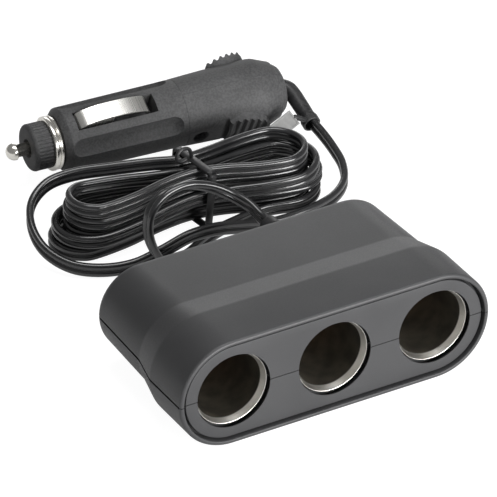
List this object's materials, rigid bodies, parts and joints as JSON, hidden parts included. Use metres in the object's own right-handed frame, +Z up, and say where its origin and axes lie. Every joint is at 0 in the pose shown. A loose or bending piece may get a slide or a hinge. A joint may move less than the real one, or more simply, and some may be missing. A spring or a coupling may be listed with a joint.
{
  "type": "car power socket splitter",
  "caption": "Car power socket splitter: a black housing with sockets side by side, a tied twin cord and a fused plug with sprung side contacts.",
  "frame": {"origin": "bottom centre of the socket housing, on the surface it stands on", "axes": "+X along the row of sockets, -Y out of the sockets, +Z up"},
  "size_m": [0.1238, 0.1633, 0.0349],
  "materials": {
    "housing_plastic": "satin moulded ABS",
    "plug_plastic": "fine matt moulded plastic",
    "screw_steel": "zinc plated",
    "boot_pvc": "soft satin PVC",
    "cord_pvc": "glossy twin PVC cord",
    "tie_plastic": "plastic coated wire",
    "tag_plastic": "bare light grey",
    "socket_metal": "nickel plated sheet",
    "fibre_board": "pressed fibre",
    "contact_brass": "stamped",
    "wire_red": "PVC wire",
    "wire_black": "PVC wire",
    "nickel_plate": "bright nickel",
    "spring_steel": "bright wire",
    "fuse_glass": "clear"
  },
  "bodies": {
    "root": {"upper_shell": "housing_plastic", "lower_shell": "housing_plastic", "housing_screws": "screw_steel", "strain_relief": "boot_pvc", "socket_sleeve_left": "socket_metal", "socket_sleeve_middle": "socket_metal", "socket_sleeve_right": "socket_metal", "insulator_left": "fibre_board", "insulator_middle": "fibre_board", "insulator_right": "fibre_board", "centre_contact_left": "contact_brass", "centre_contact_middle": "contact_brass", "centre_contact_right": "contact_brass", "positive_strip": "contact_brass", "negative_strip": "socket_metal", "positive_wire": "wire_red", "negative_wire": "wire_black", "cord_arch": "cord_pvc", "cord_hank": "cord_pvc", "cord_lead": "cord_pvc", "hank_tie": "tie_plastic", "cord_tag": "tag_plastic", "plug_shell_front": "plug_plastic", "plug_shell_back": "plug_plastic", "plug_screw": "screw_steel", "plug_boot": "boot_pvc", "thread_collar": "nickel_plate", "fuse_spring": "spring_steel", "spring_seat": "contact_brass"},
    "cap_ring": {"nose_ring": "nickel_plate"},
    "nose_cap": {"nose_cap": "plug_plastic"},
    "tip": {"tip_pin": "nickel_plate", "fuse_glass": "fuse_glass", "fuse_cap_front": "nickel_plate", "fuse_cap_rear": "nickel_plate"},
    "contact_upper": {"side_contact_upper": "nickel_plate"},
    "contact_lower": {"side_contact_lower": "nickel_plate"}
  },
  "joints": [
    {"name": "cap_travel", "type": "slide", "parent": "root", "child": "cap_ring", "axis": [-0.9962, 0.0872, 0], "range_m": [0, 0.003], "deforming": ["fuse_spring"]},
    {"name": "cap_turn", "type": "hinge", "parent": "cap_ring", "child": "nose_cap", "pos_m": [-0.01484, 0.12563, 0.0124], "axis": [-0.9962, 0.0872, 0], "range_deg": [0, 1080]},
    {"name": "tip_press", "type": "slide", "parent": "cap_ring", "child": "tip", "axis": [0.9962, -0.0872, 0], "range_m": [0, 0.0012], "stiffness_N_per_m": 600, "springref_m": -0.001, "deforming": ["fuse_spring"]},
    {"name": "contact_upper_press", "type": "hinge", "parent": "root", "child": "contact_upper", "pos_m": [-0.00365, 0.12212, 0.01695], "axis": [0.0762, 0.8713, 0.4848], "range_deg": [0, 7], "stiffness_Nm_per_rad": 0.35, "springref_deg": -2.86},
    {"name": "contact_lower_press", "type": "hinge", "parent": "root", "child": "contact_lower", "pos_m": [-0.00321, 0.12714, 0.00785], "axis": [-0.0762, -0.8713, -0.4848], "range_deg": [0, 7], "stiffness_Nm_per_rad": 0.35, "springref_deg": -2.86}
  ],
  "couplings": [
    {"joint": "cap_turn", "follows": "cap_travel", "rad_per_m": 6283.2}
  ]
}
